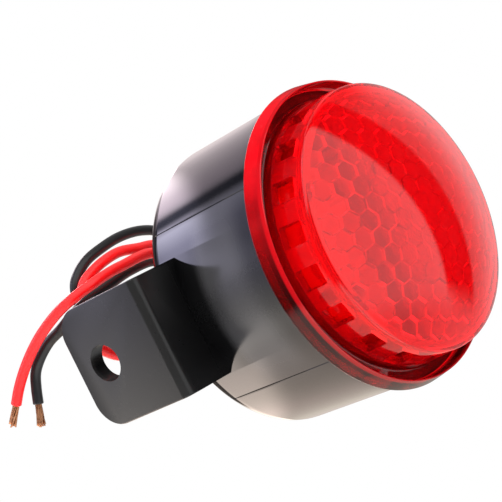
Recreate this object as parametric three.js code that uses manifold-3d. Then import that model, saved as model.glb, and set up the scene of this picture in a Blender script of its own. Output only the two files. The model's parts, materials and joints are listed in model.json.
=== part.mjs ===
// Vehicle warning light with a built-in sounder: a red domed lens on a black barrel with a side ear.
//
// The lamp is drawn with +Y along its optical axis toward the lens, +X toward the mounting ear and
// +Z across the ear. The finished group is turned half a turn about Z, so the lens faces -Y, and it
// is moved so that the origin is the rest point on the ear's outer face. Millimetres throughout.

import * as THREE from 'three';
import { mergeVertices } from 'three/addons/utils/BufferGeometryUtils.js';
import Module from 'manifold-3d';

const wasm = await Module();
wasm.setup();

// ---- Driving dimensions ---------------------------------------------------------------------
const GAP = 0.3;                 // clearance kept between separate solids
const ROUND = 72;                // sides of the large turned parts
const FINE = 40;                 // sides of the inner turned parts

// Lens, measured from the plane where its band meets the barrel (Y = 0)
const BAND_RADIUS = 36;
const BAND_SECTION = [[-0.2, 0], [0, 0.2], [-0.4, 2.4], [-0.8, 4.35], [-0.85, 4.5]];  // from BAND_RADIUS
const RIM_INNER = [34.8, 4.4];
const TROUGH_OUTER_RADIUS = 34.6;
const TROUGH_Y = 1.5;
const SKIRT_RADIUS = 31.3;
const SKIRT_FOOT_RADIUS = 31.65; // the skirt widens a little toward its foot
const SKIRT_HEAD_RADIUS = 31.1;
const SKIRT_WALL = 1.8;
const SLEEVE_RADII = [27.3, 28.3];  // the ring inside that shields the sound windows
const SLEEVE_TOP_Y = 8.6;
const SLEEVE_WEB_Y = -2.8;
const DOME_EDGE_Y = 12.8;
const DOME_RISE = 8.3;
const INNER_EDGE_Y = 11.2;
const INNER_RISE = 7.7;
const SPIGOT_END_Y = -4;
const WINDOW_COUNT = 20;
const WINDOW_ARC = 9;            // degrees of each sound window
const WINDOW_PHASE = 94.8;       // degrees from +Z to a window's centre, turning toward +X
const WINDOW_LOW_Y = 4;
const WINDOW_HIGH_Y = 10.2;
const WINDOW_CUT_Z = [28.7, 33.5];  // reach of each window's cut, through the skirt only

// Housing
const BARREL_FRONT_RADIUS = 34.4;
const BARREL_REAR_RADIUS = 33.6;
const BARREL_FILLET = 8;
const REAR_Y = -35.3;
const BORE_RADIUS = 30;
const SPIGOT_BORE_RADIUS = SKIRT_RADIUS + GAP;
const LEDGE_Y = -5.3;
const FLOOR_Y = -31;
const COVER_SEAT_Y = -32.5;
const COVER_RADIUS = 24.2;
const SERVICE_HOLE_RADIUS = 17.5;

// Mounting ear
const EAR_WIDTH = 28;
const EAR_THICK = 4;
const EAR_FACE_X = 46;
const EAR_END_Y = -52.4;
const EAR_CORNER = 6.5;
const EAR_HOLE_RADIUS = 4.25;
const EAR_HOLE_Y = -43.6;
const NECK_FRONT_Y = -25.4;
const NECK_THICK = 4.2;
const BEND_RADIUS = 2;
const REST_POINT_Y = -33.4;      // on solid material between the bend and the hole
const NECK_ROOT_X = 28.5;
const NECK_BACK_ROUND = 1;
const BAR_REACH = EAR_FACE_X + 10;

// Bosses inside the housing: radius, then the radius of the screw hole in each
const CARRIER_BOSS = [2.8, 1.15];
const COVER_BOSS = [2.8, 1.65];
const BOARD_POST = [2.2, 1.1];
const BOSS_SINK = 0.5;           // how far a boss runs into the floor it stands on

// Rear cover, gaskets and grommet
const LENS_GASKET_RADII = [30.2, 31.4];
const COVER_THICK = 1.6;
const COVER_BEVEL = 0.4;
const COVER_HOLE_RADIUS = 5.3;
const COVER_GASKET_RADII = [18.2, 23.9];
const GROMMET_TAIL_RADII = [4.2, 4.6];
const GROMMET_FLANGE_RADII = [6.6, 7];
const GROMMET_NECK_RADIUS = 5;
const GROMMET_LIP_RADII = [6, 5.6];
const GROMMET_LIP_HEIGHT = 1.3;

// Pan head screws: shank radius, head radius, head height; then their clearance holes
const COVER_SCREW = [1.3, 2.7, 1.6];
const CARRIER_SCREW = [0.85, 1.9, 1.3];
const BOARD_SCREW = [0.85, 1.8, 1.2];
const COVER_CLEARANCE = 1.75;
const GASKET_CLEARANCE = 1.8;
const CARRIER_CLEARANCE = 1.5;
const BOARD_CLEARANCE = 1.3;

// Inner stack
const CARRIER_Y = [-12, -10];
const LED_BOARD_Y = [-9.7, -8.1];
const BOARD_RADIUS = 29.6;
const LED_COUNT = 12;
const LED_RING_RADIUS = 22.5;
const DRIVER_BOARD_Y = [-29, -27.4];
const DRIVER_BOARD_RADIUS = 24.2;
const CARRIER_BOSS_ORBIT = 27.4;
const CARRIER_BOSS_PHASE = 30;
const COVER_SCREW_ORBIT = 21;
const BOARD_SCREW_ORBIT = 21;
const COVER_SCREW_TIP_Y = FLOOR_Y + 0.8;
const CARRIER_SCREW_TIP_Y = CARRIER_Y[0] - 8;
const BOARD_SCREW_TIP_Y = FLOOR_Y + 0.3;
const CARRIER_BORE_RADIUS = 14.6;
const LED_BOARD_BORE_RADIUS = 16;
const LED_WIRE_ORBIT = 20.5;
const LED_WIRE_DEGREES = 8;
const LED_WIRE_HOLE_RADIUS = 1.1;
const LED_SIZE = [3.5, 1.4, 2.8];        // across the ring, height, along the ring
const RESISTOR_SIZE = [1.6, 0.6, 3.2];
const RESISTOR_ORBIT = 18.6;

// Sounder: sections as [radius, y]
const SPEAKER_BACK_Y = -17.6;
const BASKET_FLANGE_Y = [CARRIER_Y[0] - 1.5, CARRIER_Y[0] - GAP];
const BASKET_SECTION = [
  [14.2, BASKET_FLANGE_Y[0]], [12.6, SPEAKER_BACK_Y + 1.2], [9.5, SPEAKER_BACK_Y + 1.2],
  [9.5, SPEAKER_BACK_Y], [13.4, SPEAKER_BACK_Y], [15, BASKET_FLANGE_Y[0]],
  [18, BASKET_FLANGE_Y[0]], [18, BASKET_FLANGE_Y[1]], [14.2, BASKET_FLANGE_Y[1]],
];
const BASKET_VENT = [6, 1.8, 3.2, 14, -15.4];    // size x, y, z and the place of each vent
const DIAPHRAGM_SECTION = [
  [0, -13.1], [3.5, -13.5], [6.6, -14.9], [7.4, -15.2], [11.2, -13.6], [12.3, -13], [13.6, -13.4],
];
const DIAPHRAGM_THICK = 0.3;
const TOP_PLATE = [7.9, 12.4, -19.4, -17.9];     // inner radius, outer radius, rear, front
const MAGNET = [8.6, 12.8, -23.9, -19.7];
const YOKE_BASE = [12.4, -25.6, -24.2];
const YOKE_POLE = [6, -24.3, -18];
const VOICE_COIL = [6.6, 7.3, -20.6, -15.85];

// Driver board: round parts as orbit, degrees, radius, height; blocks as orbit, degrees, size
const BOARD_CANS = {
  filter_capacitor: { place: [18.6, 120], radius: 4, height: 10, look: 'canBlue' },
  boost_inductor: { place: [18.4, 240], radius: 4, height: 6, look: 'ferrite' },
};
const BOARD_BLOCKS = {
  driver_ic: { place: [18, 90], size: [4, 1.5, 5] },
  switching_transistor: { place: [18, 270], size: [6.1, 2.3, 6.5] },
  reverse_diode: { place: [17.5, 150], size: [2.6, 2.2, 4.4] },
};

// Leads
const LEAD_DIAMETER = 2.5;
const STRAND_RADIUS = 0.85;
const STRAND_LENGTH = 6;
const LEAD_PITCH = 4.4;          // between the two leads in the grommet
const GROMMET_END_Y = -38;
const SPEAKER_WIRE = [[-16.5, DRIVER_BOARD_Y[1] + GAP], [-17, -22], [-16.6, -17], [-16.6, -14]];
const SPEAKER_WIRE_OFFSET = 2;
const WIRE_DIAMETERS = { led: 1.4, speaker: 1.2, inner: 1.6 };
const RED_STRAND_DROOP = [0.4, 0, -0.6];
const BLACK_STRAND_DROOP = [-1, 0, 0.3];

// ---- Materials ------------------------------------------------------------------------------
const LOOKS = {
  blackGloss: { color: 0x15161a, roughness: 0.15, metalness: 0 },
  blackSatin: { color: 0x222224, roughness: 0.5, metalness: 0 },
  redLens: { color: 0xe30a17, roughness: 0.08, metalness: 0 },
  rubber: { color: 0x101010, roughness: 0.8, metalness: 0 },
  steel: { color: 0xb8bcc2, roughness: 0.3, metalness: 1 },
  ferrite: { color: 0x3a3a3d, roughness: 0.7, metalness: 0 },
  boardWhite: { color: 0xe8e8e2, roughness: 0.45, metalness: 0 },
  boardGreen: { color: 0x1c5a34, roughness: 0.4, metalness: 0 },
  ledBody: { color: 0xf2eecb, roughness: 0.35, metalness: 0 },
  chip: { color: 0x1b1b1d, roughness: 0.5, metalness: 0 },
  film: { color: 0xd8c9a0, roughness: 0.3, metalness: 0 },
  copper: { color: 0xc8794a, roughness: 0.35, metalness: 1 },
  redPvc: { color: 0xf01018, roughness: 0.35, metalness: 0 },
  blackPvc: { color: 0x1d1d20, roughness: 0.4, metalness: 0 },
  canBlue: { color: 0x22304e, roughness: 0.3, metalness: 0 },
};

// ---- Solid helpers --------------------------------------------------------------------------
function toSolid(geometry) {
  const bare = geometry.clone();
  bare.deleteAttribute('normal');
  bare.deleteAttribute('uv');
  const merged = mergeVertices(bare, 1e-4);
  const triVerts = new Uint32Array(merged.index.array);
  const vertProperties = new Float32Array(merged.attributes.position.array);
  return new wasm.Manifold(new wasm.Mesh({ numProp: 3, vertProperties, triVerts }));
}

function toGeometry(solid) {
  const mesh = solid.getMesh();
  const geometry = new THREE.BufferGeometry();
  geometry.setAttribute('position', new THREE.BufferAttribute(new Float32Array(mesh.vertProperties), 3));
  geometry.setIndex(new THREE.BufferAttribute(new Uint32Array(mesh.triVerts), 1));
  geometry.computeVertexNormals();
  return geometry;
}

// A turned solid about +Y. Points are [radius, y] and run round the section counter-clockwise
// with the axis on the left, closing on themselves.
function turned(points, sides = ROUND) {
  const section = points.map(([r, y]) => new THREE.Vector2(r, y));
  section.push(section[0].clone());
  return toSolid(new THREE.LatheGeometry(section, sides));
}

// A turned solid whose section touches the axis at both ends of the list.
function turnedOnAxis(points, sides = ROUND) {
  return toSolid(new THREE.LatheGeometry(points.map(([r, y]) => new THREE.Vector2(r, y)), sides));
}

function disc(radius, lowY, highY, sides = ROUND) {
  return turnedOnAxis([[0, lowY], [radius, lowY], [radius, highY], [0, highY]], sides);
}

function ring(inner, outer, lowY, highY, sides = ROUND) {
  return turned([[inner, lowY], [outer, lowY], [outer, highY], [inner, highY]], sides);
}

function moved(solid, x, y, z) {
  return solid.translate([x, y, z]);
}

function turnedAboutAxis(solid, degrees) {
  return solid.rotate([0, degrees, 0]);
}

function box(sizeX, sizeY, sizeZ, x, y, z) {
  const block = new THREE.BoxGeometry(sizeX, sizeY, sizeZ);
  block.translate(x, y, z);
  return toSolid(block);
}

// A point on a circle about the lamp's axis; 0 degrees is +X and the angle turns toward +Z.
function onOrbit(radius, degrees) {
  const angle = THREE.MathUtils.degToRad(degrees);
  return [radius * Math.cos(angle), radius * Math.sin(angle)];
}

function peg(orbit, degrees, radius, lowY, highY, sides = 16) {
  const [x, z] = onOrbit(orbit, degrees);
  return moved(disc(radius, lowY, highY, sides), x, 0, z);
}

function arcPoints(centreR, centreY, radius, fromDegrees, toDegrees, steps) {
  const points = [];
  for (let i = 0; i <= steps; i += 1) {
    const angle = THREE.MathUtils.degToRad(fromDegrees + (toDegrees - fromDegrees) * (i / steps));
    points.push([centreR + radius * Math.cos(angle), centreY + radius * Math.sin(angle)]);
  }
  return points;
}

const group = new THREE.Group();

function add(name, solid, look) {
  const geometry = solid instanceof THREE.BufferGeometry ? solid : toGeometry(solid);
  const mesh = new THREE.Mesh(geometry, new THREE.MeshStandardMaterial(LOOKS[look]));
  mesh.name = name;
  mesh.position.set(0, -REST_POINT_Y, 0).sub(new THREE.Vector3(EAR_FACE_X, 0, 0));
  group.add(mesh);
}

// ---- Lens -----------------------------------------------------------------------------------
function domeArc(radius, edgeY, rise, fromAxis) {
  const sphere = (radius * radius + rise * rise) / (2 * rise);
  const centreY = edgeY + rise - sphere;
  const edgeAngle = THREE.MathUtils.radToDeg(Math.acos(radius / sphere));
  return fromAxis
    ? arcPoints(0, centreY, sphere, 90, edgeAngle, 5)
    : arcPoints(0, centreY, sphere, edgeAngle, 90, 6);
}

function lens() {
  const skirtInner = SKIRT_RADIUS - SKIRT_WALL;
  const outerArc = domeArc(SKIRT_HEAD_RADIUS, DOME_EDGE_Y, DOME_RISE, false);
  const innerArc = domeArc(skirtInner, INNER_EDGE_Y, INNER_RISE, true);
  outerArc[outerArc.length - 1][0] = 0;
  innerArc[0][0] = 0;
  const shell = turnedOnAxis([
    ...innerArc,
    [skirtInner, SLEEVE_WEB_Y],
    [SLEEVE_RADII[1], SLEEVE_WEB_Y],
    [SLEEVE_RADII[1], SLEEVE_TOP_Y],
    [SLEEVE_RADII[0], SLEEVE_TOP_Y],
    [SLEEVE_RADII[0], SPIGOT_END_Y],
    [SKIRT_RADIUS, SPIGOT_END_Y],
    [SKIRT_RADIUS, 0],
    ...BAND_SECTION.map(([r, y]) => [BAND_RADIUS + r, y]),
    RIM_INNER,
    [TROUGH_OUTER_RADIUS, TROUGH_Y],
    [SKIRT_FOOT_RADIUS, TROUGH_Y],
    ...outerArc,
  ]);
  const pitch = 360 / WINDOW_COUNT;
  const windowWidth = 2 * SKIRT_RADIUS * Math.sin(THREE.MathUtils.degToRad(WINDOW_ARC / 2));
  const windowHeight = WINDOW_HIGH_Y - WINDOW_LOW_Y;
  const windowMidY = (WINDOW_HIGH_Y + WINDOW_LOW_Y) / 2;
  const cutDepth = WINDOW_CUT_Z[1] - WINDOW_CUT_Z[0];
  const cutMidZ = (WINDOW_CUT_Z[1] + WINDOW_CUT_Z[0]) / 2;
  let result = shell;
  for (let i = 0; i < WINDOW_COUNT; i += 1) {
    const cut = box(windowWidth, windowHeight, cutDepth, 0, windowMidY, cutMidZ);
    result = result.subtract(turnedAboutAxis(cut, WINDOW_PHASE + i * pitch));
  }
  return result;
}

// ---- Housing --------------------------------------------------------------------------------
function earSide() {
  const side = new THREE.Shape();
  const rearOfNeck = NECK_FRONT_Y - NECK_THICK;
  const innerFaceX = EAR_FACE_X - EAR_THICK;
  const backRoundX = innerFaceX - NECK_BACK_ROUND;
  side.moveTo(NECK_ROOT_X, NECK_FRONT_Y);
  side.lineTo(NECK_ROOT_X, rearOfNeck);
  side.lineTo(backRoundX, rearOfNeck);
  side.absarc(backRoundX, rearOfNeck - NECK_BACK_ROUND, NECK_BACK_ROUND, Math.PI / 2, 0, true);
  side.lineTo(innerFaceX, EAR_END_Y);
  side.lineTo(EAR_FACE_X, EAR_END_Y);
  side.lineTo(EAR_FACE_X, NECK_FRONT_Y - BEND_RADIUS);
  side.absarc(EAR_FACE_X - BEND_RADIUS, NECK_FRONT_Y - BEND_RADIUS, BEND_RADIUS, 0, Math.PI / 2, false);
  side.closePath();
  const bar = new THREE.ExtrudeGeometry(side, { depth: EAR_WIDTH, bevelEnabled: false, curveSegments: 4 });
  bar.translate(0, 0, -EAR_WIDTH / 2);
  return toSolid(bar);
}

// The ear seen square to its face: straight sides and two rounded outer corners.
function earOutline() {
  const half = EAR_WIDTH / 2;
  const face = new THREE.Shape();
  face.moveTo(half, 0);
  face.lineTo(-half, 0);
  face.lineTo(-half, EAR_END_Y + EAR_CORNER);
  face.absarc(-half + EAR_CORNER, EAR_END_Y + EAR_CORNER, EAR_CORNER, Math.PI, 1.5 * Math.PI, false);
  face.absarc(half - EAR_CORNER, EAR_END_Y + EAR_CORNER, EAR_CORNER, 1.5 * Math.PI, 2 * Math.PI, false);
  face.closePath();
  const hole = new THREE.Path();
  hole.absarc(0, EAR_HOLE_Y, EAR_HOLE_RADIUS, 0, 2 * Math.PI, true);
  face.holes.push(hole);
  const slab = new THREE.ExtrudeGeometry(face, { depth: BAR_REACH, bevelEnabled: false, curveSegments: 7 });
  slab.rotateY(Math.PI / 2);
  return toSolid(slab);
}

function housing() {
  const filletY = REAR_Y + BARREL_FILLET;
  const filletR = BARREL_REAR_RADIUS - BARREL_FILLET;
  const outer = turnedOnAxis([
    [0, REAR_Y],
    ...arcPoints(filletR, filletY, BARREL_FILLET, -90, 0, 6),
    [BARREL_FRONT_RADIUS, -GAP],
    [0, -GAP],
  ]);
  let body = outer.add(earSide().intersect(earOutline()));
  body = body.subtract(disc(SPIGOT_BORE_RADIUS, LEDGE_Y, 1));
  body = body.subtract(disc(BORE_RADIUS, FLOOR_Y, LEDGE_Y + 1));
  body = body.subtract(disc(SERVICE_HOLE_RADIUS, REAR_Y - 1, FLOOR_Y + 1, FINE));
  body = body.subtract(disc(COVER_RADIUS + GAP, REAR_Y - 1, COVER_SEAT_Y, FINE));
  for (let i = 0; i < 3; i += 1) {
    const carrierBoss = CARRIER_BOSS_PHASE + 120 * i;
    const coverBoss = 120 * i;
    const boardPost = 60 + 120 * i;
    const footY = FLOOR_Y - BOSS_SINK;
    const carrierHoleY = CARRIER_SCREW_TIP_Y - 1;
    const coverBossTopY = DRIVER_BOARD_Y[0] - BOSS_SINK;
    body = body.add(peg(CARRIER_BOSS_ORBIT, carrierBoss, CARRIER_BOSS[0], footY, CARRIER_Y[0] - GAP));
    body = body.subtract(peg(CARRIER_BOSS_ORBIT, carrierBoss, CARRIER_BOSS[1], carrierHoleY, 0, 12));
    body = body.add(peg(COVER_SCREW_ORBIT, coverBoss, COVER_BOSS[0], footY, coverBossTopY));
    body = body.subtract(peg(COVER_SCREW_ORBIT, coverBoss, COVER_BOSS[1], REAR_Y, coverBossTopY - 0.6, 12));
    body = body.add(peg(BOARD_SCREW_ORBIT, boardPost, BOARD_POST[0], footY, DRIVER_BOARD_Y[0] - GAP));
    body = body.subtract(peg(BOARD_SCREW_ORBIT, boardPost, BOARD_POST[1], FLOOR_Y - 1, 0, 12));
  }
  return body;
}

// ---- Rear cover, its gasket, screws and grommet ---------------------------------------------
const COVER_Y = [REAR_Y, REAR_Y + COVER_THICK];
const COVER_GASKET_Y = [COVER_Y[1] + GAP, COVER_SEAT_Y - GAP];

function rearCover() {
  let cover = turnedOnAxis([
    [0, COVER_Y[0]],
    [COVER_RADIUS - COVER_BEVEL, COVER_Y[0]],
    [COVER_RADIUS, COVER_Y[0] + COVER_BEVEL],
    [COVER_RADIUS, COVER_Y[1]],
    [0, COVER_Y[1]],
  ], FINE);
  cover = cover.subtract(disc(COVER_HOLE_RADIUS, REAR_Y - 1, FLOOR_Y, 24));
  for (let i = 0; i < 3; i += 1) {
    cover = cover.subtract(peg(COVER_SCREW_ORBIT, 120 * i, COVER_CLEARANCE, REAR_Y - 1, FLOOR_Y, 12));
  }
  return cover;
}

function rearCoverGasket() {
  let gasket = ring(...COVER_GASKET_RADII, ...COVER_GASKET_Y, 48);
  for (let i = 0; i < 3; i += 1) {
    gasket = gasket.subtract(peg(COVER_SCREW_ORBIT, 120 * i, GASKET_CLEARANCE, REAR_Y, FLOOR_Y, 12));
  }
  return gasket;
}

function panScrew(orbit, degrees, [shankRadius, headRadius, headHeight], tipY, seatY) {
  const direction = Math.sign(seatY - tipY);
  const topY = seatY + direction * headHeight;
  const shank = peg(orbit, degrees, shankRadius, Math.min(tipY, seatY), Math.max(tipY, seatY), 12);
  const head = peg(orbit, degrees, headRadius, Math.min(seatY, topY), Math.max(seatY, topY), 16);
  return shank.add(head);
}

function grommet() {
  const lipY = COVER_Y[1] + GAP;
  const flangeY = COVER_Y[0] - GAP;
  return turnedOnAxis([
    [0, GROMMET_END_Y],
    [GROMMET_TAIL_RADII[0], GROMMET_END_Y],
    [GROMMET_TAIL_RADII[1], GROMMET_END_Y + 0.5],
    [GROMMET_FLANGE_RADII[0], flangeY - 1.2],
    [GROMMET_FLANGE_RADII[1], flangeY - 0.7],
    [GROMMET_FLANGE_RADII[1], flangeY],
    [GROMMET_NECK_RADIUS, flangeY],
    [GROMMET_NECK_RADIUS, lipY],
    [GROMMET_LIP_RADII[0], lipY],
    [GROMMET_LIP_RADII[1], COVER_Y[1] + GROMMET_LIP_HEIGHT],
    [0, COVER_Y[1] + GROMMET_LIP_HEIGHT],
  ], 24);
}

// ---- Front stack: gasket, carrier, LED board ------------------------------------------------
function carrier() {
  let plate = ring(CARRIER_BORE_RADIUS, BOARD_RADIUS, CARRIER_Y[0], CARRIER_Y[1], FINE);
  for (let i = 0; i < 3; i += 1) {
    const boss = CARRIER_BOSS_PHASE + 120 * i;
    plate = plate.subtract(peg(CARRIER_BOSS_ORBIT, boss, CARRIER_CLEARANCE, FLOOR_Y, 0, 12));
  }
  for (const degrees of [-LED_WIRE_DEGREES, LED_WIRE_DEGREES]) {
    plate = plate.subtract(peg(LED_WIRE_ORBIT, degrees, LED_WIRE_HOLE_RADIUS, FLOOR_Y, 0, 12));
  }
  return plate;
}

function ledBoard() {
  let board = ring(LED_BOARD_BORE_RADIUS, BOARD_RADIUS, ...LED_BOARD_Y, FINE);
  for (let i = 0; i < 3; i += 1) {
    const boss = CARRIER_BOSS_PHASE + 120 * i;
    board = board.subtract(peg(CARRIER_BOSS_ORBIT, boss, CARRIER_CLEARANCE, FLOOR_Y, 0, 12));
  }
  return board;
}

function orbitBlock([orbit, degrees], [radial, height, tangential], lowY) {
  const block = box(radial, height, tangential, orbit, lowY + height / 2, 0);
  return turnedAboutAxis(block, -degrees);
}

// ---- Sounder --------------------------------------------------------------------------------
function speakerBasket() {
  let basket = turned(BASKET_SECTION, 36);
  for (let i = 0; i < 6; i += 1) {
    basket = basket.subtract(turnedAboutAxis(box(...BASKET_VENT, 0), 60 * i + 30));
  }
  return basket;
}

function diaphragm() {
  const under = DIAPHRAGM_SECTION.map(([r, y]) => [r, y - DIAPHRAGM_THICK]);
  return turnedOnAxis([...under, ...DIAPHRAGM_SECTION.slice().reverse()], 28);
}

// ---- Wires ----------------------------------------------------------------------------------
function roundSection(radius, sides) {
  const section = new THREE.Shape();
  for (let i = 0; i < sides; i += 1) {
    const angle = (2 * Math.PI * i) / sides;
    const x = radius * Math.cos(angle);
    const y = radius * Math.sin(angle);
    if (i === 0) section.moveTo(x, y);
    else section.lineTo(x, y);
  }
  section.closePath();
  return section;
}

function tube(points, diameter, steps, sides = 8) {
  const places = points.map((point) => new THREE.Vector3(...point));
  const route = new THREE.CatmullRomCurve3(places, false, 'centripetal');
  return new THREE.ExtrudeGeometry(roundSection(diameter / 2, sides), { steps, extrudePath: route });
}

function straightWire(from, to, diameter) {
  const route = new THREE.LineCurve3(new THREE.Vector3(...from), new THREE.Vector3(...to));
  return new THREE.ExtrudeGeometry(roundSection(diameter / 2, 8), { steps: 1, extrudePath: route });
}

// Each lead leaves the grommet straight back, makes one loose turn behind the ear and runs out
// past the ear's end. Points are in the lamp's own axes.
const BLACK_ROUTE = [
  [0, -38.3, 2.2], [-0.3, -41.7, 2.4], [-3.3, -46.2, 4.2], [-8.4, -50, 7.4],
  [-11.5, -54.5, 11.5], [-9, -57.5, 18], [-3.5, -58.5, 21.9], [2.2, -58.5, 23.7],
  [9, -58.5, 24.3], [16.1, -58.5, 23.7], [21.9, -59, 22.5], [25.3, -59.8, 20.6],
  [27.5, -60.3, 18.4], [28.5, -60.8, 14], [27.4, -60.8, 9], [23.8, -60, 4.8],
  [16.3, -60, 1.8], [8.1, -60, 0.9], [1.2, -59.6, 2.5], [-2, -58, 6.5],
  [-0.1, -55.9, 11.3], [6.9, -53.5, 15.4], [16.8, -52.5, 16], [26.5, -52, 15],
  [34.2, -52.5, 13.9], [37, -55.5, 12.6], [37.7, -60.5, 10.8], [38.4, -64.8, 9.5],
  [39.6, -68.6, 7.1], [40.2, -71.5, 4.5], [40.8, -73, 1.3], [41.5, -74, -2.2],
];
const RED_ROUTE = [
  [0, -38.3, -2.2], [0, -42.5, -2.2], [-0.6, -46.4, -1.6], [-2.6, -50.6, 2.6],
  [-4.3, -53.6, 9.3], [-2, -54.8, 15.5], [2.8, -55, 18.8], [8.5, -55, 19.9],
  [14.9, -55, 21], [20.7, -55, 20.6], [25.3, -55.5, 19.5], [28.7, -56, 18],
  [31.4, -56.5, 14.8], [34.2, -56, 10], [34.8, -55.5, 4.8], [31.2, -55.5, 0.6],
  [25.1, -55.5, -1.9], [17.8, -55, -2.5], [11, -54, -1.2], [6.2, -52.5, 2.4],
  [5.3, -50.5, 7.2], [6.3, -49.5, 12.4], [10.4, -49, 17], [23, -48.5, 17.7],
  [28.3, -48.5, 17.5], [33.4, -49, 16.9], [36.7, -51.5, 16.2], [38.8, -56, 15],
  [40.2, -60, 13.4], [41.4, -65, 10.9], [42.7, -70.5, 7.1], [43.7, -75, 3.1],
  [44.6, -77.5, -0.1],
];

// A strand bundle that carries straight on from the last stretch of a lead.
function strands(route, droop) {
  const last = new THREE.Vector3(...route[route.length - 1]);
  const before = new THREE.Vector3(...route[route.length - 2]);
  const along = last.clone().sub(before).normalize();
  const start = last.clone().addScaledVector(along, GAP);
  const end = start.clone().addScaledVector(along, STRAND_LENGTH).add(new THREE.Vector3(...droop));
  const middle = start.clone().addScaledVector(along, STRAND_LENGTH / 2);
  return tube([start.toArray(), middle.toArray(), end.toArray()], 2 * STRAND_RADIUS, 3);
}

// ---- Assembly -------------------------------------------------------------------------------
add('lens', lens(), 'redLens');
add('housing', housing(), 'blackGloss');
add('lens_gasket', ring(...LENS_GASKET_RADII, LEDGE_Y + GAP, SPIGOT_END_Y - GAP, FINE), 'rubber');

add('rear_cover', rearCover(), 'blackSatin');
add('rear_cover_gasket', rearCoverGasket(), 'rubber');
add('cable_grommet', grommet(), 'rubber');
for (let i = 0; i < 3; i += 1) {
  const screw = panScrew(COVER_SCREW_ORBIT, 120 * i, COVER_SCREW, COVER_SCREW_TIP_Y, COVER_Y[0] - GAP);
  add(`rear_cover_screw_${i + 1}`, screw, 'steel');
}

const ON_LED_BOARD_Y = LED_BOARD_Y[1] + GAP;
add('carrier', carrier(), 'blackSatin');
add('led_board', ledBoard(), 'boardWhite');
for (let i = 0; i < 3; i += 1) {
  const boss = CARRIER_BOSS_PHASE + 120 * i;
  const screw = panScrew(CARRIER_BOSS_ORBIT, boss, CARRIER_SCREW, CARRIER_SCREW_TIP_Y, ON_LED_BOARD_Y);
  add(`carrier_screw_${i + 1}`, screw, 'steel');
}
for (let i = 0; i < LED_COUNT; i += 1) {
  const degrees = 360 / LED_COUNT * (i + 0.5);
  const label = String(i + 1).padStart(2, '0');
  add(`led_${label}`, orbitBlock([LED_RING_RADIUS, degrees], LED_SIZE, ON_LED_BOARD_Y), 'ledBody');
}
for (let i = 0; i < 3; i += 1) {
  const place = [RESISTOR_ORBIT, 90 + 120 * i];
  add(`led_resistor_${i + 1}`, orbitBlock(place, RESISTOR_SIZE, ON_LED_BOARD_Y), 'chip');
}

add('speaker_basket', speakerBasket(), 'blackSatin');
add('speaker_top_plate', ring(...TOP_PLATE, 36), 'steel');
add('speaker_magnet', ring(...MAGNET, 36), 'ferrite');
add('speaker_yoke', disc(...YOKE_BASE, 36).add(disc(...YOKE_POLE, 24)), 'steel');
add('voice_coil', ring(...VOICE_COIL, 24), 'copper');
add('speaker_diaphragm', diaphragm(), 'film');

function driverBoard() {
  let board = disc(DRIVER_BOARD_RADIUS, ...DRIVER_BOARD_Y, FINE);
  for (let i = 0; i < 3; i += 1) {
    board = board.subtract(peg(BOARD_SCREW_ORBIT, 60 + 120 * i, BOARD_CLEARANCE, REAR_Y, 0, 12));
  }
  return board;
}

const PARTS_Y = DRIVER_BOARD_Y[1] + GAP;
add('driver_board', driverBoard(), 'boardGreen');
for (let i = 0; i < 3; i += 1) {
  const screw = panScrew(BOARD_SCREW_ORBIT, 60 + 120 * i, BOARD_SCREW, BOARD_SCREW_TIP_Y, PARTS_Y);
  add(`driver_board_screw_${i + 1}`, screw, 'steel');
}
for (const [name, { place, radius, height, look }] of Object.entries(BOARD_CANS)) {
  add(name, peg(...place, radius, PARTS_Y, PARTS_Y + height, 24), look);
}
for (const [name, { place, size }] of Object.entries(BOARD_BLOCKS)) {
  add(name, orbitBlock(place, size, PARTS_Y), 'chip');
}

const [ledWireX, ledWireZ] = onOrbit(LED_WIRE_ORBIT, LED_WIRE_DEGREES);
for (const [name, side, look] of [['red', 1, 'redPvc'], ['black', -1, 'blackPvc']]) {
  const route = SPEAKER_WIRE.map(([x, y]) => [x, y, SPEAKER_WIRE_OFFSET * side]);
  const ledWireEnds = [PARTS_Y, LED_BOARD_Y[0] - GAP].map((y) => [ledWireX, y, side * ledWireZ]);
  add(`led_wire_${name}`, straightWire(...ledWireEnds, WIRE_DIAMETERS.led), look);
  add(`speaker_wire_${name}`, tube(route, WIRE_DIAMETERS.speaker, 5), look);
  const z = side * LEAD_PITCH / 2;
  const outerEnd = [0, COVER_Y[1] + GROMMET_LIP_HEIGHT + GAP, -z];
  const innerEnd = [0, DRIVER_BOARD_Y[0] - GAP, -z];
  add(`inner_lead_${name}`, straightWire(outerEnd, innerEnd, WIRE_DIAMETERS.inner), look);
}

add('red_lead', tube(RED_ROUTE, LEAD_DIAMETER, 48), 'redPvc');
add('black_lead', tube(BLACK_ROUTE, LEAD_DIAMETER, 48), 'blackPvc');
add('red_lead_strands', strands(RED_ROUTE, RED_STRAND_DROOP), 'copper');
add('black_lead_strands', strands(BLACK_ROUTE, BLACK_STRAND_DROOP), 'copper');

group.rotation.z = Math.PI;
group.updateMatrixWorld(true);

export default group;
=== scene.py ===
import math
import random

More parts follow.
